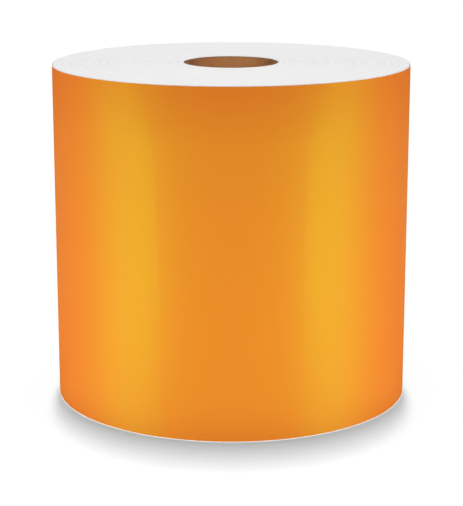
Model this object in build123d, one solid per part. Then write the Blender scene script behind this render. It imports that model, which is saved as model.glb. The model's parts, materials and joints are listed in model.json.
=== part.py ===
"""Wide roll of self-adhesive grip film on a paper core, standing on its end.

Millimetres, +Z up along the core. The origin is on the core's axis at the lower end of the roll.
The web winds outwards anticlockwise seen from above, film outside and release liner inside.
The free end of the web and its closure tab are at the back, and they open on vertical hinge lines.
"""
from build123d import *
from math import cos, degrees, pi, radians, sin, sqrt
import os

# Web: one laminate of film, adhesive and release liner
web_width = 101.6
web_length = 30480.0
film_margin = 0.15  # bare liner along each edge of the film
film_thickness = 0.12
adhesive_thickness = 0.04
liner_thickness = 0.08
turn_air = 0.04  # air between one turn and the next

# Core: kraft plies wound as helical strips, each with an open butt seam
core_bore = 25.4
ply_thickness = 0.32
glue_line = 0.04
seam_gap = 0.4
seam_lead = 62.0  # rise of a seam in one turn round the core
ply_names = ["core_inner_ply", "core_second_ply", "core_third_ply", "core_outer_ply"]

# Strip that fixes the inner end of the web to the core
strip_width = 12.0
strip_thickness = 0.08
bond_line = 0.02
strip_clearance = 0.1
core_fit = 0.04  # between the core and the first turn

# Free end of the web
free_edge_angle = 140.0
tail_length = 33.0
bonded_length = 8.0  # stretch past the fold where film and liner stay together
tail_slack = 0.08  # the free end isn't under tension and stands off the roll
peel_gap = 0.03  # between the peeling adhesive and the liner
fold_gap = 0.12  # between the two sides of a fold line

# Closure tab across the free edge
tab_height = 50.0
tab_hold = 9.0  # width on the free end
tab_reach = 10.0  # width past the free edge
tab_thickness = 0.1
tab_fold = 4.0  # turned-under end to take hold of
tab_clearance = 0.12
tab_corner = 2.5

# Sizes that follow
pitch = film_thickness + adhesive_thickness + liner_thickness + turn_air
core_radius = core_bore / 2 + len(ply_names) * ply_thickness + (len(ply_names) - 1) * glue_line
core_length = web_width  # cut flush with the web
roll_radius = sqrt(core_radius**2 + web_length * pitch / pi)
film_depth = film_thickness
adhesive_depth = film_depth + adhesive_thickness
liner_depth = adhesive_depth + liner_thickness
film_low = film_margin
film_high = web_width - film_margin
tab_middle = web_width / 2


def arc_angle(length):
    """Angle in degrees that a length along the outer turn covers."""
    return degrees(length / roll_radius)


def polar(radius, angle, centre=0.0):
    """Point at a radius and angle about a centre on the X axis."""
    return (centre + radius * cos(radians(angle)), radius * sin(radians(angle)))


def patch(outer_start, outer_end, inner_start, inner_end, start, end, centre=0.0):
    """Flat face between two arcs whose radii run evenly from one end to the other."""
    middle = (start + end) / 2
    outer = ThreePointArc(
        polar(outer_start, start, centre),
        polar((outer_start + outer_end) / 2, middle, centre),
        polar(outer_end, end, centre),
    )
    inner = ThreePointArc(
        polar(inner_end, end, centre),
        polar((inner_start + inner_end) / 2, middle, centre),
        polar(inner_start, start, centre),
    )
    far = Line(polar(outer_end, end, centre), polar(inner_end, end, centre))
    near = Line(polar(inner_start, start, centre), polar(outer_start, start, centre))
    return Face(Wire([outer, far, inner, near]))


def half_turn(top, bottom, start, end, half, lift=0.0):
    """Part of one half of the outer turn, between two depths under its outer surface."""
    if half == 0:
        centre = -pitch / 4
        radius = roll_radius - pitch * 3 / 4
    else:
        centre = pitch / 4
        radius = roll_radius - pitch / 4
    high = radius - top + lift
    low = radius - bottom + lift
    return patch(high, high, low, low, start, end, centre)


def upright(face, low, high):
    """Extrude a face between two heights and turn it to its place round the roll."""
    return Rot(0, 0, free_edge_angle) * (Pos(0, 0, low) * extrude(face, high - low))


def outer_turn(top, bottom, low, high):
    """One layer of the last turn, from where it leaves the wound turns to the tail's fold line."""
    start = arc_angle(fold_gap)
    end = 360 - arc_angle(tail_length + fold_gap)
    first = half_turn(top, bottom, start, 180, 0)
    second = half_turn(top, bottom, 180, end, 1)
    return upright((first + second).faces()[0], low, high)


def tail_layer(top, bottom, begin, finish, low, high, lift=tail_slack):
    """One layer of the free end, between two distances back from the free edge."""
    face = half_turn(top, bottom, 360 - arc_angle(begin), 360 - arc_angle(finish), 1, lift)
    return upright(face, low, high)


def core_ply(inner_radius, seam_start):
    """One paper ply: a tube slit along its helical butt seam."""
    tube = extrude(Circle(inner_radius + ply_thickness) - Circle(inner_radius), core_length)
    overrun = 1.0
    blade_height = core_length + 2 * overrun
    slit = Pos(inner_radius + ply_thickness / 2, 0, -overrun) * Rectangle(2 * ply_thickness, seam_gap)
    blade = Solid.extrude_linear_with_rotation(
        slit.faces()[0],
        center=(0, 0, -overrun),
        normal=(0, 0, blade_height),
        angle=360 * blade_height / seam_lead,
    )
    return tube - Rot(0, 0, seam_start) * blade


def start_strip():
    """Double-sided strip on the core under the first turn."""
    inner = core_radius + bond_line
    outer = inner + strip_thickness
    half = degrees(strip_width / 2 / core_radius)
    return extrude(patch(outer, outer, inner, inner, -half, half), web_width)


def wound_turns():
    """All turns under the last one as one body, with the step where the last turn leaves it."""
    first_radius = roll_radius - pitch * 7 / 4
    second_radius = roll_radius - pitch * 5 / 4
    step_low = polar(first_radius, 0, -pitch / 4)
    back = polar(first_radius, 180, -pitch / 4)
    step_high = polar(second_radius, 360, pitch / 4)
    outline = Wire(
        [
            ThreePointArc(step_low, polar(first_radius, 90, -pitch / 4), back),
            ThreePointArc(back, polar(second_radius, 270, pitch / 4), step_high),
            Line(step_high, step_low),
        ]
    )
    body = upright(Face(outline), 0, web_width)
    body -= extrude(Circle(core_radius + core_fit), web_width)
    pocket_outer = core_radius + bond_line + strip_thickness + bond_line
    half = degrees((strip_width / 2 + strip_clearance) / core_radius)
    pocket = patch(pocket_outer, pocket_outer, core_radius, core_radius, -half, half)
    return body - extrude(pocket, web_width)


def rounded_end(sheet, end, towards_edge):
    """Round the two corners of an upright sheet at its end line, on the side away from the free edge."""
    window = Box(2 * tab_reach, 2 * (tab_hold + tab_reach), tab_height)
    window = fillet(window.edges().filter_by(Axis.X), tab_corner)
    place = Pos(roll_radius, towards_edge * (tab_hold + tab_reach), tab_middle)
    return sheet & (Rot(0, 0, free_edge_angle + end) * place * window)


def tab_base():
    """Half of the closure tab that stays on the free end of the film."""
    bottom = -bond_line
    top = bottom - tab_thickness
    low = tab_middle - tab_height / 2
    high = tab_middle + tab_height / 2
    sheet = tail_layer(top, bottom, tab_hold, fold_gap / 2, low, high)
    return rounded_end(sheet, -arc_angle(tab_hold), 1)


def tab_flap():
    """Half of the closure tab past the free edge, with its end turned under."""
    start = arc_angle(fold_gap / 2)
    end = arc_angle(tab_reach)
    fold = arc_angle(tab_reach - tab_fold)
    level = roll_radius + tail_slack + bond_line
    landing = roll_radius - pitch + tab_clearance + tab_thickness
    turned = level + (landing - level) * (fold - start) / (end - start)
    sheet = patch(level + tab_thickness, landing + tab_thickness, level, landing, start, end)
    under = patch(turned, landing, turned - tab_thickness, landing - tab_thickness, fold, end)
    low = tab_middle - tab_height / 2
    high = tab_middle + tab_height / 2
    flap = upright(sheet, low, high) + upright(under, low, high)
    return rounded_end(flap, end, -1)


def parts():
    """Every node of the roll by name."""
    made = {}
    for number, name in enumerate(ply_names):
        inner_radius = core_bore / 2 + number * (ply_thickness + glue_line)
        made[name] = core_ply(inner_radius, number * 360 / len(ply_names))
    made["start_strip"] = start_strip()
    made["wound_turns"] = wound_turns()
    made["last_turn_liner"] = outer_turn(adhesive_depth, liner_depth, 0, web_width)
    made["last_turn_adhesive"] = outer_turn(film_depth, adhesive_depth, film_low, film_high)
    made["last_turn_film"] = outer_turn(0, film_depth, film_low, film_high)

    made["tail_liner"] = tail_layer(
        adhesive_depth + peel_gap, liner_depth + peel_gap, tail_length, 0, 0, web_width
    )
    bonded_end = tail_length - bonded_length
    made["bonded_adhesive"] = tail_layer(
        film_depth, adhesive_depth + peel_gap, tail_length, bonded_end, film_low, film_high
    )
    made["bonded_film"] = tail_layer(0, film_depth, tail_length, bonded_end, film_low, film_high)

    peel_start = bonded_end - fold_gap
    made["tail_adhesive"] = tail_layer(film_depth, adhesive_depth, peel_start, 0, film_low, film_high)
    made["tail_film"] = tail_layer(0, film_depth, peel_start, 0, film_low, film_high)
    made["tab_base"] = tab_base()
    made["tab_flap"] = tab_flap()
    return made


def hinge_line(back_from_edge, height):
    """Point on a fold line, at a height over the film's outer surface."""
    radius = roll_radius - pitch / 4 + tail_slack + height
    point = polar(radius, 360 - arc_angle(back_from_edge), pitch / 4)
    return (Rot(0, 0, free_edge_angle) * Pos(point[0], point[1], 0)).position


os.makedirs("parts", exist_ok=True)
for name, shape in parts().items():
    export_step(shape, f"parts/{name}.step")
    print(name, "valid", shape.is_valid, "solids", len(shape.solids()), "volume", round(shape.volume, 2))

print("roll radius", roll_radius, "core radius", core_radius, "pitch", pitch)
print("tail fold", hinge_line(tail_length, 0))
print("peel fold", hinge_line(tail_length - bonded_length - fold_gap, 0))
print("tab fold", hinge_line(0, bond_line + tab_thickness))
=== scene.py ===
"""Wide roll of orange self-adhesive film on a paper core, standing on its end. Metres, +Z up along the core.

The web winds outwards anticlockwise seen from above. A place on its last turn is given by its angle from the
free edge, 0 to 360 degrees, and by its depth under the film's face. The free end opens at the back.
"""
import json
import math

import bpy
from mathutils import Matrix, Vector


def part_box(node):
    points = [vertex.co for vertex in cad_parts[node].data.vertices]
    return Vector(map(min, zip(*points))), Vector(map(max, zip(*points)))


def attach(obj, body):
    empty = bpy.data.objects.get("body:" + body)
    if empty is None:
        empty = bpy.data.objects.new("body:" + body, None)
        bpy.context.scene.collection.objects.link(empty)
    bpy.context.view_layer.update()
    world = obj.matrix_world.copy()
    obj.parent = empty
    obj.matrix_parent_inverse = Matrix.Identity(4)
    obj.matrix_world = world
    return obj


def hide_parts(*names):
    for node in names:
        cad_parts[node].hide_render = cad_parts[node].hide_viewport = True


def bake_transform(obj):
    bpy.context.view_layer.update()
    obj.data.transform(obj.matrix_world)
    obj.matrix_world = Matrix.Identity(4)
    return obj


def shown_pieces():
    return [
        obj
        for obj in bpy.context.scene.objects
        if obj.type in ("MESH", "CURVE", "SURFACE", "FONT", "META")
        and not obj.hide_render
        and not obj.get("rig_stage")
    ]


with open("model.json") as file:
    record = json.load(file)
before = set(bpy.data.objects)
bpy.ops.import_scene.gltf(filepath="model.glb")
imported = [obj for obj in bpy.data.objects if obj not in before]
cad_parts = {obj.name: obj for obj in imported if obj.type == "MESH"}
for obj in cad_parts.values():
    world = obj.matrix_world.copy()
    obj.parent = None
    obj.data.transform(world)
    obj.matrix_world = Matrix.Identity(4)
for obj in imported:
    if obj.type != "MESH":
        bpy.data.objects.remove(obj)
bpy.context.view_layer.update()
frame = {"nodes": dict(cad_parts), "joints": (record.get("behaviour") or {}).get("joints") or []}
hinge = {joint["name"]: Vector(joint["pos_m"]) for joint in frame["joints"]}

MM = 0.001
UP = (0, 0, 1)

# Layers of the web and how it is wound
FILM = 0.12 * MM
ADHESIVE = 0.04 * MM
LINER = 0.08 * MM
TURN_AIR = 0.04 * MM
PITCH = FILM + ADHESIVE + LINER + TURN_AIR
WEB_LENGTH = 30480 * MM
CORE_FIT = 0.04 * MM  # between the core and the first turn
PEEL_GAP = 0.03 * MM  # between the peeling adhesive and the liner
TAIL_SLACK = 0.08 * MM  # how far the free end stands off the roll
TAIL_LENGTH = 33.0 * MM
BONDED_LENGTH = 8.0 * MM  # past the fold line, where film and liner stay together
FOLD_GAP = 0.12 * MM  # between the two sides of a fold line

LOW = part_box("wound_turns")[0].z
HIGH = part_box("wound_turns")[1].z
FILM_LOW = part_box("last_turn_film")[0].z
FILM_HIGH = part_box("last_turn_film")[1].z
TAB_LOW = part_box("tab_base")[0].z
TAB_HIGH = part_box("tab_base")[1].z
CORE_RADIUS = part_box("core_outer_ply")[1].x
ROLL_RADIUS = math.sqrt(CORE_RADIUS**2 + WEB_LENGTH * PITCH / math.pi)
FREE_EDGE = math.atan2(hinge["tab_peel"].y, hinge["tab_peel"].x)
STEP = math.radians(2.5)
BEND_STEP = 0.6 * MM / ROLL_RADIUS  # finer, where a sheet bends
WELD = 0.0005 * MM  # points nearer than this become one
SMOOTH_UNDER = math.radians(30)
LEVEL_FACE = 0.6  # a face is a level one when its normal is steeper than this
UPRIGHT_FACE = 0.2  # and an upright one when it's flatter than this

# ---------------------------------------------------------------- modelling by hand


def deselect():
    """Leave nothing selected, so that an operator acts only on what is made next."""
    bpy.ops.object.select_all(action="DESELECT")


def edit(piece):
    """Open one piece for editing with nothing in it selected."""
    deselect()
    bpy.context.view_layer.objects.active = piece
    piece.select_set(True)
    bpy.ops.object.mode_set(mode="EDIT")
    bpy.ops.mesh.select_all(action="DESELECT")


def close(piece):
    """Make the piece's faces point outwards and leave edit mode."""
    bpy.ops.mesh.select_all(action="SELECT")
    bpy.ops.mesh.remove_doubles(threshold=WELD)
    bpy.ops.mesh.normals_make_consistent(inside=False)
    bpy.ops.object.mode_set(mode="OBJECT")
    return piece


def settle(piece):
    """Put the piece's place into its mesh."""
    deselect()
    bpy.context.view_layer.objects.active = piece
    piece.select_set(True)
    bpy.ops.object.transform_apply(location=True, rotation=True, scale=True)
    return piece


def select_points(piece, test):
    """Select the points whose place passes a test, in edit mode."""
    bpy.ops.object.mode_set(mode="OBJECT")
    for point in piece.data.vertices:
        point.select = test(point.co)
    bpy.ops.object.mode_set(mode="EDIT")


def upright_section(name, thickness, low, high, radius, angle, centre):
    """Flat section across the web, standing at an angle from the free edge."""
    deselect()
    bpy.ops.mesh.primitive_plane_add(
        size=1,
        location=(centre + radius * math.cos(angle), radius * math.sin(angle), (low + high) / 2),
        rotation=(math.pi / 2, 0, angle),
    )
    piece = bpy.context.object
    piece.name = name
    piece.scale = (thickness, high - low, 1)
    return settle(piece)


def half_centre(half):
    """Centre and radius of one half of the last turn's outer face: two half circles make one turn."""
    if half == 0:
        return -PITCH / 4, ROLL_RADIUS - PITCH * 3 / 4
    return PITCH / 4, ROLL_RADIUS - PITCH / 4


def turned(piece):
    """Turn a piece made with its free edge on +X to its place round the roll, and shade it smoothly."""
    piece.rotation_euler = (0, 0, FREE_EDGE)
    settle(piece)
    bpy.ops.object.shade_smooth_by_angle(angle=SMOOTH_UNDER)
    return piece


def spin_part(start, finish, centre, aside=0.0, step=STEP):
    """Carry the selected section round a vertical line, anticlockwise."""
    steps = max(2, round((finish - start) / step))
    bpy.ops.mesh.spin(steps=steps, angle=finish - start, center=(centre, aside, 0), axis=(0, 0, -1))


def layer(name, top, bottom, low, high, start, finish, rise=0.0, rows=1, round_by=0.0, step=STEP):
    """One layer of the last turn, between two depths, two heights and two angles from the free edge."""
    centre, radius = half_centre(0 if start < math.pi else 1)
    middle = radius + rise - (top + bottom) / 2
    piece = upright_section(name, bottom - top, low, high, middle, start, centre)
    edit(piece)
    bpy.ops.mesh.select_all(action="SELECT")
    if round_by:
        bpy.ops.mesh.bevel(offset=round_by, segments=2, affect="VERTICES")
    for row in range(1, rows):
        bpy.ops.mesh.select_all(action="SELECT")
        bpy.ops.mesh.bisect(plane_co=(0, 0, low + (high - low) * row / rows), plane_no=UP)
    bpy.ops.mesh.select_all(action="SELECT")
    if start < math.pi < finish:
        spin_part(start, math.pi, centre)
        spin_part(math.pi, finish, half_centre(1)[0])
    else:
        spin_part(start, finish, centre, step=step)
    close(piece)
    return turned(piece)


def back_from_edge(distance):
    """Angle of a place on the free end, a length back from the free edge."""
    return 2 * math.pi - distance / ROLL_RADIUS


def on_turn(angle, rise):
    """Point over the last turn's face, in the frame and at mid height."""
    centre, radius = half_centre(0 if angle < math.pi else 1)
    radius += rise
    flat = Vector((centre + radius * math.cos(angle), radius * math.sin(angle), (LOW + HIGH) / 2))
    return Matrix.Rotation(FREE_EDGE, 3, "Z") @ flat


# ---------------------------------------------------------------- materials

NOISE_LOW = 0.3  # noise seldom leaves this range, which is spread from 0 to 1
NOISE_HIGH = 0.7


def socket(group, name, kind, way, value=None):
    """Give a node group a named input or output."""
    made = group.interface.new_socket(name=name, in_out=way, socket_type=kind)
    if value is not None:
        made.default_value = value


def speckle_group():
    """Fine speckle: a colour varied in lightness by noise at two sizes, and a height for bump."""
    group = bpy.data.node_groups.new("speckle", "ShaderNodeTree")
    socket(group, "Colour", "NodeSocketColor", "INPUT", (0.8, 0.8, 0.8, 1))
    socket(group, "Dark Colour", "NodeSocketColor", "INPUT", (0.7, 0.7, 0.7, 1))
    socket(group, "Fine Scale", "NodeSocketFloat", "INPUT", 3000.0)
    socket(group, "Broad Scale", "NodeSocketFloat", "INPUT", 60.0)
    socket(group, "Broad Share", "NodeSocketFloat", "INPUT", 0.4)
    socket(group, "Colour", "NodeSocketColor", "OUTPUT")
    socket(group, "Height", "NodeSocketFloat", "OUTPUT")
    nodes, links = group.nodes, group.links
    source = nodes.new("NodeGroupInput")
    result = nodes.new("NodeGroupOutput")
    place = nodes.new("ShaderNodeTexCoord")
    fine = nodes.new("ShaderNodeTexNoise")
    fine.inputs["Detail"].default_value = 2
    broad = nodes.new("ShaderNodeTexNoise")
    broad.inputs["Detail"].default_value = 3
    links.new(place.outputs["Object"], fine.inputs["Vector"])
    links.new(place.outputs["Object"], broad.inputs["Vector"])
    links.new(source.outputs["Fine Scale"], fine.inputs["Scale"])
    links.new(source.outputs["Broad Scale"], broad.inputs["Scale"])
    joined = nodes.new("ShaderNodeMix")
    links.new(source.outputs["Broad Share"], joined.inputs["Factor"])
    links.new(fine.outputs["Fac"], joined.inputs["A"])
    links.new(broad.outputs["Fac"], joined.inputs["B"])
    spread = nodes.new("ShaderNodeMapRange")
    spread.inputs["From Min"].default_value = NOISE_LOW
    spread.inputs["From Max"].default_value = NOISE_HIGH
    links.new(joined.outputs["Result"], spread.inputs["Value"])
    tinted = nodes.new("ShaderNodeMix")
    tinted.data_type = "RGBA"
    links.new(spread.outputs["Result"], tinted.inputs["Factor"])
    links.new(source.outputs["Dark Colour"], tinted.inputs["A"])
    links.new(source.outputs["Colour"], tinted.inputs["B"])
    links.new(tinted.outputs["Result"], result.inputs["Colour"])
    links.new(spread.outputs["Result"], result.inputs["Height"])
    return group


SPECKLE = speckle_group()


def material(name, colour, dark, fine=3000.0, broad=60.0, share=0.4, bump=0.0, bump_size=0.01, **sockets):
    """A speckled material: colour and bump come from the speckle group, the rest from plain sockets."""
    made = bpy.data.materials.new(name)
    made.use_nodes = True
    nodes, links = made.node_tree.nodes, made.node_tree.links
    shader = nodes["Principled BSDF"]
    speckle = nodes.new("ShaderNodeGroup")
    speckle.node_tree = SPECKLE
    speckle.inputs["Colour"].default_value = (*colour, 1)
    speckle.inputs["Dark Colour"].default_value = (*dark, 1)
    speckle.inputs["Fine Scale"].default_value = fine
    speckle.inputs["Broad Scale"].default_value = broad
    speckle.inputs["Broad Share"].default_value = share
    links.new(speckle.outputs["Colour"], shader.inputs["Base Color"])
    if bump:
        relief = nodes.new("ShaderNodeBump")
        relief.inputs["Strength"].default_value = bump
        relief.inputs["Distance"].default_value = bump_size * MM
        links.new(speckle.outputs["Height"], relief.inputs["Height"])
        links.new(relief.outputs["Normal"], shader.inputs["Normal"])
    for key, value in sockets.items():
        shader.inputs[key.replace("_", " ")].default_value = value
    return made


orange_film = material(
    "satin_orange_film", (0.95, 0.182, 0.027), (0.925, 0.175, 0.026), fine=2200, broad=90, share=0.2,
    bump=0.15, Roughness=0.47, IOR=2.0, Specular_IOR_Level=1.0, Specular_Tint=(0.15, 1.0, 0.0, 1),
)


def no_glow(look):
    """Keep a strong colour from tinting the floor: the surface is black to light bounced between surfaces."""
    nodes, links = look.node_tree.nodes, look.node_tree.links
    shader = nodes["Principled BSDF"]
    colour = shader.inputs["Base Color"].links[0].from_socket
    path = nodes.new("ShaderNodeLightPath")
    shade = nodes.new("ShaderNodeMix")
    shade.data_type = "RGBA"
    links.new(path.outputs["Is Diffuse Ray"], shade.inputs["Factor"])
    links.new(colour, shade.inputs["A"])
    shade.inputs["B"].default_value = (0, 0, 0, 1)
    links.new(shade.outputs["Result"], shader.inputs["Base Color"])


no_glow(orange_film)

WOUND_SCALE = 900
# how far the painted shade in the rings darkens the colour
PAINTED_RING_SHADE = 0.07


def concentric_painted_shade(look):
    """Faint rings of painted shade about the core: the colour darkens in rings, standing for the shade where
    the turns of a wound end lie a little higher or lower.
    """
    nodes, links = look.node_tree.nodes, look.node_tree.links
    shader = nodes["Principled BSDF"]
    colour = shader.inputs["Base Color"].links[0].from_socket
    place = nodes.new("ShaderNodeTexCoord")
    flat = nodes.new("ShaderNodeVectorMath")
    flat.operation = "MULTIPLY"
    flat.inputs[1].default_value = (1, 1, 0)
    radius = nodes.new("ShaderNodeVectorMath")
    radius.operation = "LENGTH"
    rings = nodes.new("ShaderNodeTexNoise")
    rings.noise_dimensions = "1D"
    rings.inputs["Scale"].default_value = WOUND_SCALE
    rings.inputs["Detail"].default_value = 3
    tone = nodes.new("ShaderNodeMapRange")
    tone.inputs["From Min"].default_value = NOISE_LOW
    tone.inputs["From Max"].default_value = NOISE_HIGH
    tone.inputs["To Min"].default_value = 1 - PAINTED_RING_SHADE
    shade = nodes.new("ShaderNodeVectorMath")
    shade.operation = "SCALE"
    links.new(place.outputs["Object"], flat.inputs[0])
    links.new(flat.outputs["Vector"], radius.inputs[0])
    links.new(radius.outputs["Value"], rings.inputs["W"])
    links.new(rings.outputs["Fac"], tone.inputs["Value"])
    links.new(colour, shade.inputs[0])
    links.new(tone.outputs["Result"], shade.inputs["Scale"])
    links.new(shade.outputs["Vector"], shader.inputs["Base Color"])


# Pale cut edge of the film, made lighter so that the upper rim of the roll shows bright: partly the edge's
# own colour, partly a painted highlight.
film_cut_and_rim_highlight = material("film_cut_edge_and_rim_highlight", (0.92, 0.90, 0.86), (0.86, 0.83, 0.78), Roughness=0.6)
laminate_edge = material(
    "web_edges", (0.89, 0.89, 0.89), (0.85, 0.85, 0.85), fine=2500, broad=300,
    bump=0.2, bump_size=0.02, Roughness=0.65, Specular_IOR_Level=0.2,
)
# Rings of painted shade on the web's ends
concentric_painted_shade(laminate_edge)
release_liner = material(
    "liner_paper", (0.86, 0.86, 0.83), (0.80, 0.80, 0.77), fine=1500, broad=80, bump=0.1, Roughness=0.35,
)
adhesive = material(
    "adhesive_coating", (0.80, 0.74, 0.58), (0.74, 0.67, 0.50), fine=900, Roughness=0.18,
)
kraft = material(
    "kraft_paper", (0.42, 0.188, 0.072), (0.32, 0.137, 0.052), fine=900, broad=140, share=0.5,
    bump=0.35, bump_size=0.04, Roughness=0.85, Specular_IOR_Level=0.15,
)
# Cut ends of the core plies, much darker than the paper: partly the cut paper's own colour, partly painted
# shade round the mouth of the bore.
kraft_cut_and_rim_shade = material(
    "kraft_cut_edge_and_rim_shade", (0.17, 0.085, 0.04), (0.11, 0.055, 0.028), fine=2500, broad=300, share=0.5,
    bump=0.3, bump_size=0.03, Roughness=0.9, Specular_IOR_Level=0.1,
)
strip_tape = material("strip_tape", (0.80, 0.78, 0.70), (0.72, 0.70, 0.62), Roughness=0.4)
closure_label = material(
    "label_paper", (0.74, 0.74, 0.72), (0.66, 0.66, 0.64), fine=1200, broad=90, bump=0.15, Roughness=0.5,
)


def finish(piece, slot, main, cut=None):
    """Give a piece its material, and its level cut edges their own: on the film that one holds a painted rim
    highlight, on the core painted rim shade.
    """
    piece.data.materials.clear()
    piece.data.materials.append(main)
    if cut:
        piece.data.materials.append(cut)
        for face in piece.data.polygons:
            face.material_index = 1 if abs(face.normal.z) > LEVEL_FACE else 0
    return piece


# ---------------------------------------------------------------- wound web

RIDGE_STEP = math.radians(3.75)
RIDGE_WIDTH = 0.09 * MM  # flat top of a turn's edge
GROOVE = 0.17 * MM  # place of the groove beside it
GROOVE_DEPTH = 0.05 * MM
NEAR = 0.01 * MM
TURN_WELD = 0.001 * MM


def wound_web():
    """All the turns under the last one, with the edge of every turn standing in both ends."""
    outer = ROLL_RADIUS - 2 * PITCH
    turns = int((outer - CORE_RADIUS - CORE_FIT) / PITCH)
    inner = outer - turns * PITCH
    piece = upright_section("wound_web", PITCH, LOW, HIGH, inner + PITCH / 2, 0, 0)
    edit(piece)
    for across in (RIDGE_WIDTH, GROOVE):
        bpy.ops.mesh.select_all(action="SELECT")
        bpy.ops.mesh.bisect(plane_co=(inner + across, 0, 0), plane_no=(1, 0, 0))
    half_way = (LOW + HIGH) / 2
    for side in (-1, 1):
        bpy.ops.mesh.select_all(action="DESELECT")
        select_points(piece, lambda co: abs(co.x - inner - GROOVE) < NEAR and (co.z - half_way) * side > 0)
        bpy.ops.transform.translate(value=(0, 0, -side * GROOVE_DEPTH))
    bpy.ops.object.mode_set(mode="OBJECT")
    repeat = piece.modifiers.new("turns", "ARRAY")
    repeat.count = turns
    repeat.use_relative_offset = False
    repeat.use_constant_offset = True
    repeat.constant_offset_displace = (PITCH, 0, 0)
    repeat.use_merge_vertices = True
    repeat.merge_threshold = TURN_WELD
    bpy.ops.object.modifier_apply(modifier=repeat.name)
    edit(piece)
    bpy.ops.mesh.select_all(action="SELECT")
    bpy.ops.mesh.dissolve_faces()
    bpy.ops.mesh.select_all(action="SELECT")
    bpy.ops.mesh.delete(type="ONLY_FACE")
    bpy.ops.mesh.select_all(action="SELECT")
    for centre in (-PITCH / 4, PITCH / 4):
        spin_part(0, math.pi, centre, step=RIDGE_STEP)
    bpy.ops.mesh.select_all(action="SELECT")
    bpy.ops.mesh.remove_doubles(threshold=TURN_WELD)
    bpy.ops.mesh.fill_holes(sides=0)
    close(piece)
    return turned(piece)


web = finish(wound_web(), "laminate_edge", laminate_edge)
web.data.materials.append(orange_film)
for face in web.data.polygons:
    if abs(face.normal.z) < UPRIGHT_FACE and face.center.xy.length > ROLL_RADIUS - 3 * PITCH:
        face.material_index = 1
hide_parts("wound_turns")
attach(web, "roll")

# ---------------------------------------------------------------- last turn and free end

FILM_BOTTOM = FILM
ADHESIVE_BOTTOM = FILM + ADHESIVE
LINER_BOTTOM = ADHESIVE_BOTTOM + LINER
START_GAP = 0.01 * MM  # the last turn goes on from the wound turns with no gap to see
SHEET_LEAD = 1.0 * MM  # the peeling sheets start this far before the end of the bonded length
BEND = 6.0 * MM  # length past a fold line where a sheet would bend; it only marks the end of that span, and no bend is made
ROUND = 0.03 * MM
FILM_ROWS = 6
TAIL_ROWS = 4
TURN_START = START_GAP / ROLL_RADIUS
FOLD = back_from_edge(TAIL_LENGTH)
SHEET_START = back_from_edge(TAIL_LENGTH - BONDED_LENGTH + SHEET_LEAD)
PEEL = back_from_edge(TAIL_LENGTH - BONDED_LENGTH - FOLD_GAP)
FREE = 2 * math.pi

film = finish(
    layer("face_film", 0, FILM_BOTTOM, FILM_LOW, FILM_HIGH, TURN_START, FOLD, rows=FILM_ROWS, round_by=ROUND),
    "orange_film", orange_film, film_cut_and_rim_highlight,
)
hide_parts("last_turn_film")
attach(film, "roll")
coat = finish(
    layer("adhesive_coat", FILM_BOTTOM, ADHESIVE_BOTTOM, FILM_LOW, FILM_HIGH, TURN_START, FOLD),
    "adhesive", adhesive,
)
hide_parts("last_turn_adhesive")
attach(coat, "roll")
liner = finish(
    layer("release_liner", ADHESIVE_BOTTOM, LINER_BOTTOM, LOW, HIGH, TURN_START, FOLD, round_by=ROUND / 2),
    "release_liner", release_liner,
)
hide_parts("last_turn_liner")
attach(liner, "roll")


def tail_layer(name, node, top, bottom, low, high, start, end, slot, look, cut, fold):
    """A layer of the free end, standing off the last turn by the slack; the span from its fold line to BEND
    past it is worked out, but the layer is not bent there.
    """
    piece = layer(
        name, top, bottom, low, high, start, end,
        rise=TAIL_SLACK, rows=TAIL_ROWS, round_by=ROUND / 2, step=BEND_STEP,
    )
    finish(piece, slot, look, cut)
    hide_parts(node)
    bend_start = on_turn(fold, TAIL_SLACK)
    bend_end = on_turn(fold + BEND / ROLL_RADIUS, TAIL_SLACK)
    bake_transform(piece)


tail_layer(
    "tail_liner_sheet", "tail_liner",
    ADHESIVE_BOTTOM + PEEL_GAP, LINER_BOTTOM + PEEL_GAP, LOW, HIGH, FOLD, FREE,
    "release_liner", release_liner, None, FOLD,
)
tail_layer(
    "bonded_film_sheet", "bonded_film",
    0, FILM_BOTTOM, FILM_LOW, FILM_HIGH, FOLD, SHEET_START,
    "orange_film", orange_film, film_cut_and_rim_highlight, FOLD,
)
tail_layer(
    "bonded_adhesive_coat", "bonded_adhesive",
    FILM_BOTTOM, ADHESIVE_BOTTOM + PEEL_GAP, FILM_LOW, FILM_HIGH, FOLD, SHEET_START,
    "adhesive", adhesive, None, FOLD,
)
tail_layer(
    "tail_film_sheet", "tail_film",
    0, FILM_BOTTOM, FILM_LOW, FILM_HIGH, SHEET_START, FREE,
    "orange_film", orange_film, film_cut_and_rim_highlight, PEEL,
)
tail_layer(
    "tail_adhesive_coat", "tail_adhesive",
    FILM_BOTTOM, ADHESIVE_BOTTOM, FILM_LOW, FILM_HIGH, SHEET_START, FREE,
    "adhesive", adhesive, None, PEEL,
)

# ---------------------------------------------------------------- core and strip

PLY_SMOOTH_UNDER = math.radians(40)


def ply(node):
    """A core ply as the CAD has it, with its loose faces joined and its cut ends in a darker colour: partly
    the cut paper's own, partly painted shade round the mouth of the bore.
    """
    piece = frame["nodes"][node].copy()
    piece.data = piece.data.copy()
    piece.name = node + "_paper"
    for key in [key for key in piece.keys() if key.startswith("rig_")]:
        del piece[key]
    piece.parent = None
    bpy.context.scene.collection.objects.link(piece)
    edit(piece)
    close(piece)
    bpy.ops.object.shade_smooth_by_angle(angle=PLY_SMOOTH_UNDER)
    finish(piece, "kraft", kraft, kraft_cut_and_rim_shade)
    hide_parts(node)
    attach(piece, "roll")


for node in ("core_inner_ply", "core_second_ply", "core_third_ply", "core_outer_ply"):
    ply(node)
strip = frame["nodes"]["start_strip"]
strip.data.materials.clear()
strip.data.materials.append(strip_tape)

# ---------------------------------------------------------------- closure tab

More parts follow.
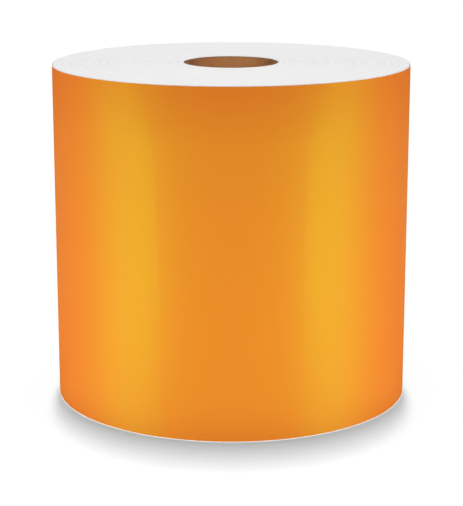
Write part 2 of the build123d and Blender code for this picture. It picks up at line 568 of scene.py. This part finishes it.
TAB_HOLD = 9.0 * MM
TAB_REACH = 10.0 * MM
TAB_THICKNESS = 0.1 * MM
TAB_BOND = 0.02 * MM
TAB_FOLD = 4.0 * MM
TAB_CORNER = 2.5 * MM
TAB_DROP = 0.16 * MM  # from the free end down to the turn below
FOLD_AIR = 0.02 * MM
TAB_ROUND_STEPS = 6
TAB_CORNER_STEPS = 8
TRIM = 1.0 * MM  # what the rounded outline cuts off
BLOCK_DEPTH = 20 * MM


def tab_outline():
    """Block with rounded corners that the tab is cut to."""
    ahead = ROLL_RADIUS * math.sin(TAB_REACH / ROLL_RADIUS) + TAB_THICKNESS
    behind = ROLL_RADIUS * math.sin(TAB_HOLD / ROLL_RADIUS)
    place = (ROLL_RADIUS, (ahead - behind) / 2, (TAB_LOW + TAB_HIGH) / 2)
    deselect()
    bpy.ops.mesh.primitive_cube_add(size=1, location=place)
    block = bpy.context.object
    block.scale = (BLOCK_DEPTH, ahead + behind, TAB_HIGH - TAB_LOW)
    settle(block)
    edit(block)
    bpy.ops.object.mode_set(mode="OBJECT")
    for edge in block.data.edges:
        first, second = (block.data.vertices[number].co for number in edge.vertices)
        edge.select = abs(first.x - second.x) > MM
    bpy.context.tool_settings.mesh_select_mode = (False, True, False)
    bpy.ops.object.mode_set(mode="EDIT")
    bpy.ops.mesh.bevel(offset=TAB_CORNER, segments=TAB_CORNER_STEPS, affect="EDGES")
    bpy.ops.object.mode_set(mode="OBJECT")
    bpy.context.tool_settings.mesh_select_mode = (True, False, False)
    return block


def closure_tab():
    """Tab across the free edge: on the film, then down to the turn below, with its end turned under."""
    centre, radius = half_centre(1)
    level = radius + TAIL_SLACK + TAB_BOND + TAB_THICKNESS / 2
    start = back_from_edge(TAB_HOLD + TRIM)
    piece = upright_section(
        "closure_tab", TAB_THICKNESS, TAB_LOW - TRIM, TAB_HIGH + TRIM, level, start, centre
    )
    edit(piece)
    bpy.ops.mesh.select_all(action="SELECT")
    spin_part(start, FREE, centre, step=BEND_STEP)
    reach = (TAB_REACH - TAB_THICKNESS) / ROLL_RADIUS
    dip = TAB_DROP / math.sin(reach)
    spin_part(0, reach, centre, aside=-dip, step=BEND_STEP)
    turn = Matrix.Rotation(reach, 2)
    end = Vector((centre, -dip)) + turn @ Vector((level, dip))
    fold = end - turn @ Vector(((TAB_THICKNESS + FOLD_AIR) / 2, 0))
    under = TAB_FOLD / ROLL_RADIUS
    steps = TAB_ROUND_STEPS
    bpy.ops.mesh.spin(steps=steps, angle=math.pi, center=(*fold, 0), axis=(0, 0, -1))
    bpy.ops.mesh.spin(steps=steps, angle=under, center=(centre, -dip, 0), axis=UP)
    close(piece)
    block = tab_outline()
    trim = piece.modifiers.new("outline", "BOOLEAN")
    trim.operation = "INTERSECT"
    trim.solver = "EXACT"
    trim.object = block
    deselect()
    bpy.context.view_layer.objects.active = piece
    bpy.ops.object.modifier_apply(modifier=trim.name)
    bpy.data.objects.remove(block)
    return turned(piece)


tab = finish(closure_tab(), "closure_label", closure_label)
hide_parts("tab_base", "tab_flap")
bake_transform(tab)

# ---------------------------------------------------------------- studio

FLOOR_SIZE = 12
FLOOR_GAP = 0.02 * MM
WORLD_LIGHT = 0.1
BACKDROP = 1.0

bpy.ops.mesh.primitive_plane_add(size=FLOOR_SIZE, location=(0, 0, -FLOOR_GAP))
floor = bpy.context.object
floor.name = "floor"
floor_look = bpy.data.materials.new("floor")
floor_look.use_nodes = True
shader = floor_look.node_tree.nodes["Principled BSDF"]
shader.inputs["Base Color"].default_value = (0.95, 0.95, 0.95, 1)
shader.inputs["Roughness"].default_value = 1.0
shader.inputs["Specular IOR Level"].default_value = 0.0
floor.data.materials.append(floor_look)
floor.visible_glossy = False
floor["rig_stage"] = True

scene = bpy.context.scene
scene.view_settings.view_transform = "Standard"
world = bpy.data.worlds.new("studio")
scene.world = world
world.use_nodes = True
sky = world.node_tree.nodes["Background"]
sky.inputs["Color"].default_value = (1, 1, 1, 1)
seen = world.node_tree.nodes.new("ShaderNodeLightPath")
backdrop = world.node_tree.nodes.new("ShaderNodeMix")
backdrop.inputs["A"].default_value = WORLD_LIGHT
backdrop.inputs["B"].default_value = BACKDROP
world.node_tree.links.new(seen.outputs["Is Camera Ray"], backdrop.inputs["Factor"])
world.node_tree.links.new(backdrop.outputs["Result"], sky.inputs["Strength"])
world.cycles_visibility.glossy = False


def light_set(name, pieces):
    """Collection of the pieces that a light is kept to."""
    made = bpy.data.collections.new(name)
    for piece in pieces:
        made.objects.link(piece)
    return made


def area_light(name, place, aim, size, power, only):
    """A soft light that faces a point, lights only some pieces and is shaded by them alone."""
    data = bpy.data.lights.new(name, "AREA")
    data.shape = "RECTANGLE"
    data.size = size[0]
    data.size_y = size[1]
    data.energy = power
    lamp = bpy.data.objects.new(name, data)
    scene.collection.objects.link(lamp)
    lamp.location = place
    lamp.rotation_euler = (Vector(aim) - Vector(place)).to_track_quat("-Z", "Y").to_euler()
    lamp.light_linking.receiver_collection = only
    lamp.light_linking.blocker_collection = only
    return lamp


roll_pieces = light_set("roll_pieces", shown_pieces())
core_pieces = light_set("core_pieces", [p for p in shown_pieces() if "ply" in p.name])
middle = Vector((0, 0, (LOW + HIGH) / 2))


def overhead_light(name, strength, spread, lean, shadow):
    """Light from above that leans towards the back, with its spread and lean in degrees."""
    data = bpy.data.lights.new(name, "SUN")
    data.energy = strength * math.pi
    data.angle = math.radians(spread)
    data.use_shadow = shadow
    lamp = bpy.data.objects.new(name, data)
    scene.collection.objects.link(lamp)
    lamp.visible_glossy = False
    lamp.rotation_euler = (math.radians(-lean), 0, 0)


# The key is a narrow strip that runs from above towards the back, in suns side by side
STRIP_COUNT = 5
STRIP_STEP = 2.7
KEY = 0.59
for number in range(STRIP_COUNT):
    lean = STRIP_STEP * (number + 0.5)
    overhead_light(f"overhead_key_{number}", KEY / STRIP_COUNT, spread=STRIP_STEP, lean=lean, shadow=True)
FILL = 0.39
FILL_SPREAD = 25
overhead_light("overhead_fill", FILL, spread=FILL_SPREAD, lean=0, shadow=False)

# Two tall lights make the sheen down both sides of the film
SIDE_ANGLE = math.radians(69)
SIDE_DISTANCE = 0.6
SIDE_DROP = math.radians(13.4)
SIDE_SIZE = (0.36, 0.8)
SIDE_POWER = 1.1
for side, name in ((-1, "side_left"), (1, "side_right")):
    spot = Vector((side * math.sin(SIDE_ANGLE), -math.cos(SIDE_ANGLE), 0)) * SIDE_DISTANCE
    spot.z = middle.z - SIDE_DISTANCE * math.tan(SIDE_DROP)
    area_light(name, spot, middle, SIDE_SIZE, SIDE_POWER, roll_pieces)

# A ring at floor height evens out the film's colour, and one light fills the mouth of the core
LAMP_SIZE = (0.1, 0.1)
RING_COUNT = 4
RING_RADIUS = 0.2
RING_FRONT = 0.172
RING_BACK = 0.128
for number in range(RING_COUNT):
    turn = 2 * math.pi * (number + 0.5) / RING_COUNT
    spot = Vector((math.sin(turn) * RING_RADIUS, -math.cos(turn) * RING_RADIUS, 0))
    power = RING_FRONT if spot.y < 0 else RING_BACK
    lamp = area_light(f"ring_{number}", spot, middle, LAMP_SIZE, power, roll_pieces)
    lamp.visible_glossy = False

CORE_LAMP_PLACE = (0, -0.3, 0.35)
CORE_LAMP_POWER = 1.6
core_mouth = Vector((0, 0, HIGH))
lamp = area_light("core_lamp", CORE_LAMP_PLACE, core_mouth, LAMP_SIZE, CORE_LAMP_POWER, core_pieces)
lamp.visible_glossy = False

# ---------------------------------------------------------------- camera

CAMERA_BACK = 9.181 * ROLL_RADIUS
CAMERA_RISE = 1.1219 * ROLL_RADIUS  # over the upper end
CAMERA_DIP = 13.591  # degrees under level
CAMERA_TURN = -0.0178  # degrees
SENSOR_WIDTH = 36
LENS = 117.1
CLIP_END = 50

data = bpy.data.cameras.new("camera")
data.sensor_width = SENSOR_WIDTH
data.lens = LENS
data.clip_end = CLIP_END
camera = bpy.data.objects.new("camera", data)
scene.collection.objects.link(camera)
camera.location = (0, -CAMERA_BACK, HIGH + CAMERA_RISE)
camera.rotation_euler = (math.radians(90 - CAMERA_DIP), 0, math.radians(CAMERA_TURN))
scene.camera = camera
